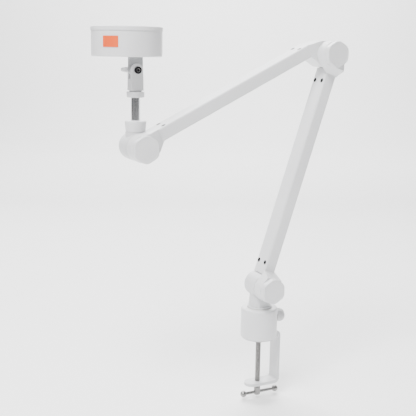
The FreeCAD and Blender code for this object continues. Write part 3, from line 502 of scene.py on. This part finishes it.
low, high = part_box("clamp_screw")
hubTop = low.z + clampHub["length"] * millimetre
hubForm = lathe(hubProfile(clampHub, (high.x - low.x) / 2, low.z, hubTop), clampHub["sides"])
hubMesh = meshFrom("clampHub", hubForm)
shaftTop = high.z - clampTip["pinLength"] * millimetre
threadLow = hubTop - threadEnds["intoHub"] * millimetre
threadHigh = shaftTop - threadEnds["belowTip"] * millimetre
threadMesh = meshFrom("clampThread", threadForm(clampThread, threadLow, threadHigh))
collar = clampTip["collar"] * millimetre
collarLow = shaftTop - clampTip["collarLength"] * millimetre
pin = clampTip["pin"] * millimetre
tipProfile = [(0.0, collarLow), (collar, collarLow), (collar, shaftTop)]
tipProfile += [(pin, shaftTop), (pin, high.z), (0.0, high.z)]
tipMesh = meshFrom("clampTip", lathe(tipProfile, clampTip["sides"]))
addPiece("clampHub", hubMesh, "screw_body", "bright_steel", ["clamp_screw"])
addPiece("clampThread", threadMesh, "screw_body", "bright_steel", crease=25.0)
addPiece("clampTip", tipMesh, "screw_body", "bright_steel")
print("clamp screw made")

ballEnd = {
    "radius": 5.0,
    "neck": 2.9,
    "flat": 2.2,
    "neckEdge": 0.82,    # inner edge of the neck's end, as a share of the neck
    "neckLength": 0.96,  # how far back the neck ends, as a share of the radius
    "neckBevel": 0.86,
    "steps": 20,
    "sides": 48,
}


def ballForm(sizes):
    radius = sizes["radius"] * millimetre
    neck = sizes["neck"] * millimetre
    flat = sizes["flat"] * millimetre
    startAngle = math.degrees(math.acos(neck / radius))
    endAngle = math.degrees(math.acos(flat / radius))
    back = -radius * sizes["neckLength"]
    profile = [(0.0, back), (neck * sizes["neckEdge"], back), (neck, -radius * sizes["neckBevel"])]
    profile += arc((0.0, 0.0), radius, -startAngle, endAngle, sizes["steps"])
    profile.append((0.0, radius * math.sin(math.radians(endAngle))))
    return lathe(profile, sizes["sides"])


low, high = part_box("bar_caps")
middle = (low + high) / 2
for side in (-1, 1):
    edgeX = high.x if side > 0 else low.x
    centre = Vector((edgeX - side * ballEnd["radius"] * millimetre, middle.y, middle.z))
    form = turned(ballForm(ballEnd), Matrix.Rotation(math.radians(90 * side), 4, "Y"), centre)
    name = "ballEndOuter" if side > 0 else "ballEndInner"
    addPiece(name, meshFrom(name, form), "bar_body", "bright_steel", ["bar_caps"])
print("ball ends made")

weldDistance = 1e-6


def islandsOf(node):
    # the loose solids of a CAD node, each as an array of its corners
    form = bmesh.new()
    form.from_mesh(node.data)
    bmesh.ops.remove_doubles(form, verts=form.verts, dist=weldDistance)
    left = set(form.verts)
    islands = []
    while left:
        seen = {left.pop()}
        edge = list(seen)
        while edge:
            corner = edge.pop()
            for link in corner.link_edges:
                other = link.other_vert(corner)
                if other in left:
                    left.discard(other)
                    seen.add(other)
                    edge.append(other)
        islands.append(numpy.array([list(corner.co) for corner in seen]))
    form.free()
    islands.sort(key=lambda corners: tuple(corners.mean(axis=0).round(6)))
    return islands


def newTree(name, sockets):
    tree = bpy.data.node_groups.new(name, "GeometryNodeTree")
    tree.interface.new_socket("Geometry", in_out="INPUT", socket_type="NodeSocketGeometry")
    for label, kind in sockets:
        tree.interface.new_socket(label, in_out="INPUT", socket_type=kind)
    tree.interface.new_socket("Geometry", in_out="OUTPUT", socket_type="NodeSocketGeometry")
    return tree, tree.nodes.new("NodeGroupInput"), tree.nodes.new("NodeGroupOutput")


def finishTree(tree, source, start, end):
    real = tree.nodes.new("GeometryNodeRealizeInstances")
    paint = tree.nodes.new("GeometryNodeSetMaterial")
    tree.links.new(source, real.inputs["Geometry"])
    tree.links.new(real.outputs["Geometry"], paint.inputs["Geometry"])
    tree.links.new(start.outputs["Material"], paint.inputs["Material"])
    tree.links.new(paint.outputs["Geometry"], end.inputs["Geometry"])


def placedTree():
    # one copy of an item at each point of the mesh, all turned alike
    sockets = (("Item", "NodeSocketObject"), ("Turn", "NodeSocketVector"),
               ("Material", "NodeSocketMaterial"))
    tree, start, end = newTree("itemAtPoints", sockets)
    item = tree.nodes.new("GeometryNodeObjectInfo")
    spread = tree.nodes.new("GeometryNodeInstanceOnPoints")
    tree.links.new(start.outputs["Item"], item.inputs["Object"])
    tree.links.new(start.outputs["Geometry"], spread.inputs["Points"])
    tree.links.new(item.outputs["Geometry"], spread.inputs["Instance"])
    tree.links.new(start.outputs["Turn"], spread.inputs["Rotation"])
    finishTree(tree, spread.outputs["Instances"], start, end)
    return tree


def ringTree():
    # copies of an item round a circle, each turned to face outwards
    sockets = (("Item", "NodeSocketObject"), ("Count", "NodeSocketInt"), ("Radius", "NodeSocketFloat"),
               ("Material", "NodeSocketMaterial"))
    tree, start, end = newTree("itemRing", sockets)
    circle = tree.nodes.new("GeometryNodeMeshCircle")
    item = tree.nodes.new("GeometryNodeObjectInfo")
    spread = tree.nodes.new("GeometryNodeInstanceOnPoints")
    index = tree.nodes.new("GeometryNodeInputIndex")
    share = tree.nodes.new("ShaderNodeMath")
    share.operation = "DIVIDE"
    angle = tree.nodes.new("ShaderNodeMath")
    angle.operation = "MULTIPLY"
    angle.inputs[1].default_value = 2 * math.pi
    turn = tree.nodes.new("ShaderNodeCombineXYZ")
    tree.links.new(start.outputs["Count"], circle.inputs["Vertices"])
    tree.links.new(start.outputs["Radius"], circle.inputs["Radius"])
    tree.links.new(start.outputs["Item"], item.inputs["Object"])
    tree.links.new(circle.outputs["Mesh"], spread.inputs["Points"])
    tree.links.new(item.outputs["Geometry"], spread.inputs["Instance"])
    tree.links.new(index.outputs["Index"], share.inputs[0])
    tree.links.new(start.outputs["Count"], share.inputs[1])
    tree.links.new(share.outputs["Value"], angle.inputs[0])
    tree.links.new(angle.outputs["Value"], turn.inputs["Z"])
    tree.links.new(turn.outputs["Vector"], spread.inputs["Rotation"])
    finishTree(tree, spread.outputs["Instances"], start, end)
    return tree


atPoints = placedTree()
roundRing = ringTree()


def grown(name, tree, values, points, itemForm):
    # runs a tree once over some points and gives back a plain mesh
    item = bpy.data.objects.new(name + "Item", meshFrom(name + "Item", itemForm))
    bpy.context.scene.collection.objects.link(item)
    base = bpy.data.meshes.new(name + "Points")
    base.from_pydata([tuple(point) for point in points], [], [])
    carrier = bpy.data.objects.new(name + "Carrier", base)
    bpy.context.scene.collection.objects.link(carrier)
    modifier = carrier.modifiers.new("repeat", "NODES")
    modifier.node_group = tree
    values = dict(values, Item=item)
    for socket in tree.interface.items_tree:
        if socket.in_out == "INPUT" and socket.name in values:
            modifier[socket.identifier] = values[socket.name]
    carrier.update_tag()
    bpy.context.view_layer.update()
    shown = carrier.evaluated_get(bpy.context.evaluated_depsgraph_get())
    mesh = bpy.data.meshes.new_from_object(shown)
    mesh.name = name
    carrier.modifiers.remove(modifier)
    bpy.data.objects.remove(carrier)
    bpy.data.objects.remove(item)
    return mesh


armScrew = {
    "head": 3.35,
    "edge": 0.18,
    "recess": 1.5,
    "recessFloor": 0.82,   # floor of the recess, as a share of its mouth
    "recessStep": 0.25,
    "depth": 1.2,
    "cone": 1.35,
    "shaft": 2.0,
    "length": 8.4,
    "sides": 48,
}


def armScrewForm(sizes):
    # countersunk screw with a stepped recess, its head's face at the origin
    edge = sizes["edge"]
    recess = sizes["recess"]
    shaft = sizes["shaft"]
    end = -sizes["length"]
    profile = [(0.0, -sizes["depth"]), (recess * sizes["recessFloor"], -sizes["depth"])]
    profile += [(recess, -sizes["recessStep"]), (recess + edge, 0.0)]
    profile += [(sizes["head"] - edge, 0.0), (sizes["head"], -edge)]
    profile += [(shaft, -sizes["cone"]), (shaft, end), (0.0, end)]
    return lathe(scaled(profile), sizes["sides"])


def screwSeats(node):
    # each screw's axis is its longest direction, and its head is at the upper end of that axis
    seats = []
    for corners in islandsOf(node):
        middle = corners.mean(axis=0)
        axis = numpy.linalg.svd(corners - middle)[2][0]
        axis = axis if axis[2] > 0 else -axis
        rise = ((corners - middle) @ axis).max()
        seats.append((Vector(middle + axis * rise), Vector(axis)))
    return seats


for arm in ("lower_arm", "upper_arm"):
    seats = screwSeats(nodes[arm + "_screws"])
    turn = seats[0][1].to_track_quat("Z", "Y").to_euler()
    name = arm.split("_")[0] + "ArmScrews"
    values = {"Turn": tuple(turn), "Material": finishes["black_steel"]}
    mesh = grown(name, atPoints, values, [seat for seat, axis in seats], armScrewForm(armScrew))
    addPiece(name, mesh, arm, "black_steel", [arm + "_screws"], crease=30.0)
print("arm screws made")

lampCup = {
    "mouth": 5.4,
    "foot": 2.7,
    "height": 4.6,
    "wall": 0.3,
    "flare": 0.6,    # below one, the cup opens fastest near its foot
    "steps": 8,
    "dome": 1.9,
    "domeSteps": 8,
    "lift": 0.2,     # above the tray's floor
    "sides": 40,
}
domeAngles = (12, 84)   # degrees up from the rim


def cupForm(sizes):
    # thin flared cup, closed round its wall
    height = sizes["height"]
    outer = []
    inner = []
    for step in range(sizes["steps"] + 1):
        share = step / sizes["steps"]
        radius = sizes["foot"] + (sizes["mouth"] - sizes["foot"]) * share ** sizes["flare"]
        outer.append((radius * millimetre, height * share * millimetre))
        inner.append(((radius - sizes["wall"]) * millimetre, height * share * millimetre))
    return lathe(outer + list(reversed(inner)), sizes["sides"])


def domeForm(sizes):
    # small frosted dome just above each light source
    radius = sizes["dome"] * millimetre
    start, end = domeAngles
    profile = [(0.0, 0.0), (radius, 0.0)] + arc((0.0, 0.0), radius, start, end, sizes["domeSteps"])
    profile.append((0.0, radius))
    return lathe(profile, sizes["sides"])


chips = [Vector(corners.mean(axis=0)) for corners in islandsOf(nodes["led_chips"])]
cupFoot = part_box("reflector_tray")[0].z + lampCup["lift"] * millimetre
seats = [Vector((chip.x, chip.y, cupFoot)) for chip in chips]
values = {"Turn": (0.0, 0.0, 0.0), "Material": finishes["polished_rod"]}
cups = grown("lampCups", atPoints, values, seats, cupForm(lampCup))
addPiece("lampCups", cups, "head_body", "polished_rod", crease=50.0)
values = {"Turn": (0.0, 0.0, 0.0), "Material": finishes["diffuser"]}
domes = grown("lampDomes", atPoints, values, seats, domeForm(lampCup))
addPiece("lampDomes", domes, "head_body", "diffuser", crease=50.0)
print("lamp cups made,", len(chips))

lampLens = {
    "ridges": 26,
    "start": 6.0,       # radius of the smooth middle
    "rim": 1.2,
    "rimDrop": 0.4,
    "rise": 0.42,
    "slope": 0.15,      # a ridge's steep side, as a share of its width
    "crown": 0.9,
    "sides": 160,
}


def lensForm(sizes, radius, low, high):
    # shallow dome with low concentric ridges on its outer face
    crown = sizes["crown"] * millimetre
    rim = sizes["rim"] * millimetre
    profile = [(0.0, low), (radius, low), (radius, high - crown - sizes["rimDrop"] * millimetre)]
    step = (radius - rim - sizes["start"] * millimetre) / sizes["ridges"]
    for number in range(sizes["ridges"]):
        outside = radius - rim - step * number
        fall = crown * (outside / radius) ** 2
        profile.append((outside, high - fall - sizes["rise"] * millimetre))
        profile.append((outside - step * sizes["slope"], high - fall))
    profile.append((0.0, high))
    return lathe(profile, sizes["sides"])


low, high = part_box("front_lens")
lensRadius = (high.x - low.x) / 2
lensAxis = Vector(((low.x + high.x) / 2, 0, 0))
lens = turned(lensForm(lampLens, lensRadius, low.z, high.z), upright, lensAxis)
lensMesh = meshFrom("ridgedLens", lens)
addPiece("ridgedLens", lensMesh, "head_body", "diffuser", ["front_lens"], crease=20.0)
print("lens made")

lockKnob = {
    "ribs": 28,
    "ribWidth": 1.3,
    "ribDepth": 0.7,
    "ribSink": 0.25,      # how far each rib's flat side is let into the body
    "ribSteps": 8,
    "dome": 3.6,
    "domeSteps": 12,
    "waist": 0.9,
    "waistSteps": 5,
    "dish": 0.42,         # the sunk middle of the end, as a share of the body
    "dishFloor": 0.40,
    "dishDepth": 0.35,
    "sides": 112,
}
ribFade = ((0.0, 0.25), (0.06, 0.8), (0.5, 1.0), (0.90, 0.8), (1.0, 0.25))   # place and size along a rib


def lockKnobForm(sizes, radius, length):
    body = radius - sizes["ribDepth"] * millimetre
    dome = sizes["dome"] * millimetre
    waist = sizes["waist"] * millimetre
    floor = length - sizes["dishDepth"] * millimetre
    profile = [(0.0, 0.0), (body - waist, 0.0)]
    profile += arc((body - waist, waist), waist, -90, 0, sizes["waistSteps"])
    profile += arc((body - dome, length - dome), dome, 0, 90, sizes["domeSteps"])
    profile += [(body * sizes["dish"], length), (body * sizes["dishFloor"], floor), (0.0, floor)]
    return lathe(profile, sizes["sides"])


def ribForm(sizes, length):
    # a half-round rib that runs along the knob and fades at both ends
    form = bmesh.new()
    rings = []
    for share, size in ribFade:
        ring = []
        for step in range(sizes["ribSteps"] + 1):
            angle = math.radians(-90 + 180 * step / sizes["ribSteps"])
            reach = (sizes["ribDepth"] * size * math.cos(angle) - sizes["ribSink"]) * millimetre
            side = sizes["ribWidth"] / 2 * size * math.sin(angle) * millimetre
            ring.append(form.verts.new((reach, side, length * share)))
        rings.append(ring)
    return skinned(form, rings)


low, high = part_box("lock_knob")
knobRadius = (high.y - low.y) / 2
knobLength = high.x - low.x
knobFoot = Vector((low.x, 0, (low.z + high.z) / 2))
bodyForm = turned(lockKnobForm(lockKnob, knobRadius, knobLength), towardsRight, knobFoot)
knobMesh = meshFrom("lockKnobBody", bodyForm)
addPiece("lockKnobBody", knobMesh, "lock_knob_body", "white_plastic", ["lock_knob"], crease=40.0)
knobPlace = Matrix.Translation(knobFoot) @ towardsRight
ribLength = knobLength - lockKnob["dome"] * millimetre - lockKnob["waist"] * millimetre
values = {"Count": lockKnob["ribs"], "Radius": knobRadius - lockKnob["ribDepth"] * millimetre,
          "Material": finishes["white_plastic"]}
ribs = grown("lockKnobRibs", roundRing, values, [Vector()], ribForm(lockKnob, ribLength))
ribs.transform(knobPlace @ Matrix.Translation((0, 0, lockKnob["waist"] * millimetre)))
addPiece("lockKnobRibs", ribs, "lock_knob_body", "white_plastic", crease=60.0)
print("lock knob made")

tiltScrew = {
    "head": 5.0,
    "headHeight": 3.3,
    "edge": 1.1,
    "edgeSteps": 8,
    "ring": 2.7,
    "ringLip": 0.1,
    "ringBevel": 0.15,
    "well": 1.9,
    "depth": 1.5,
    "shaft": 3.0,
    "sides": 72,
}
# the bright ring in the well: its inner edge, outer edge and top bevel, then its levels
wellRing = {"bevel": 2.1, "outer": 2.6, "foot": -1.4, "shoulder": -0.35, "top": -0.2}


def screwProfile(sizes, length):
    # from the bottom of the key's well round the head and down the shaft
    head = sizes["head"]
    edge = sizes["edge"]
    ring = sizes["ring"]
    lip = sizes["ringLip"]
    under = -sizes["headHeight"]
    profile = [(0.0, -sizes["depth"]), (ring - lip, -sizes["depth"]), (ring, -lip)]
    profile.append((ring + sizes["ringBevel"], 0.0))
    profile += arc((head - edge, -edge), edge, 90, 0, sizes["edgeSteps"])
    profile += [(head, under), (sizes["shaft"], under), (sizes["shaft"], -length), (0.0, -length)]
    return scaled(profile)


low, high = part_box("tilt_screw")
screwFace = Vector(((low.x + high.x) / 2, low.y, (low.z + high.z) / 2))
screwLength = (high.y - low.y) / millimetre
form = lathe(screwProfile(tiltScrew, screwLength), tiltScrew["sides"])
screwMesh = meshFrom("tiltScrewHead", turned(form, towardsFront, screwFace))
addPiece("tiltScrewHead", screwMesh, "bracket_body", "black_steel", ["tilt_screw"], crease=30.0)
well = tiltScrew["well"]
ringProfile = [(well, wellRing["foot"]), (well, wellRing["shoulder"]), (wellRing["bevel"], wellRing["top"])]
ringProfile += [(wellRing["outer"], wellRing["top"]), (wellRing["outer"], wellRing["foot"])]
ring = turned(lathe(scaled(ringProfile), tiltScrew["sides"]), towardsFront, screwFace)
addPiece("tiltScrewRing", meshFrom("tiltScrewRing", ring), "bracket_body", "bright_steel")
print("tilt screw made")

wingNut = {
    "hub": 6.5,
    "hubTop": 5.3,
    "hubRim": 0.6,
    "hubLength": 8.0,
    "hubSides": 64,
    "bore": 3.05,
    "edge": 0.8,
    "edgeSteps": 6,
    "leanAlong": 0.28,   # how an ear's thickness is shared between its two directions
    "leanBack": 0.42,
    "smooth": 2,
}
# reach, distance back, height and thickness along one ear
wingSections = ((0.5, 3.4, 8.8, 3.8), (4.5, 3.6, 8.8, 3.2), (8.5, 5.4, 7.8, 3.0),
                (12.0, 8.6, 6.4, 3.0), (13.9, 10.9, 4.6, 2.6))


def earForm(sizes, side, start, height):
    # one ear as a chain of four-cornered sections, rounded afterwards
    form = bmesh.new()
    rings = []
    for reach, back, tall, thick in wingSections:
        ring = []
        for lean, rise in ((-1, -1), (1, -1), (1, 1), (-1, 1)):
            along = side * (reach - lean * thick * sizes["leanAlong"])
            behind = start.y / millimetre + back + lean * thick * sizes["leanBack"]
            up = rise * tall / 2
            place = (start.x + along * millimetre, behind * millimetre, height + up * millimetre)
            ring.append(form.verts.new(place))
        rings.append(ring)
    return skinned(form, rings)


def smoothed(mesh, levels):
    holder = bpy.data.objects.new(mesh.name + "Holder", mesh)
    bpy.context.scene.collection.objects.link(holder)
    modifier = holder.modifiers.new("round", "SUBSURF")
    modifier.levels = levels
    bpy.context.view_layer.update()
    result = bpy.data.meshes.new_from_object(holder.evaluated_get(bpy.context.evaluated_depsgraph_get()))
    result.name = mesh.name
    holder.modifiers.remove(modifier)
    bpy.data.objects.remove(holder)
    return result


low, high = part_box("wing_nut")
wingStart = Vector(((low.x + high.x) / 2, low.y, 0))
wingHeight = (low.z + high.z) / 2
for side, label in ((-1, "Left"), (1, "Right")):
    rough = meshFrom("wingEar" + label, earForm(wingNut, side, wingStart, wingHeight))
    ear = smoothed(rough, wingNut["smooth"])
    addPiece("wingEar" + label, ear, "wing_body", "white_arm_coat", ["wing_nut"], crease=60.0)
hubEdge = wingNut["edge"]
hubCentre = (wingNut["hubTop"] - hubEdge, wingNut["hubLength"] - hubEdge)
hubPoints = [(wingNut["bore"], 0.0), (wingNut["hub"], 0.0), (wingNut["hub"], wingNut["hubRim"])]
hubPoints += arc(hubCentre, hubEdge, 0, 90, wingNut["edgeSteps"])
hubPoints.append((wingNut["bore"], wingNut["hubLength"]))
hub = lathe(scaled(hubPoints), wingNut["hubSides"])
backwards = Matrix.Rotation(math.radians(-90), 4, "X")
hub = turned(hub, backwards, Vector((wingStart.x, wingStart.y, wingHeight)))
addPiece("wingHub", meshFrom("wingHub", hub), "wing_body", "white_arm_coat")
print("wing nut made")
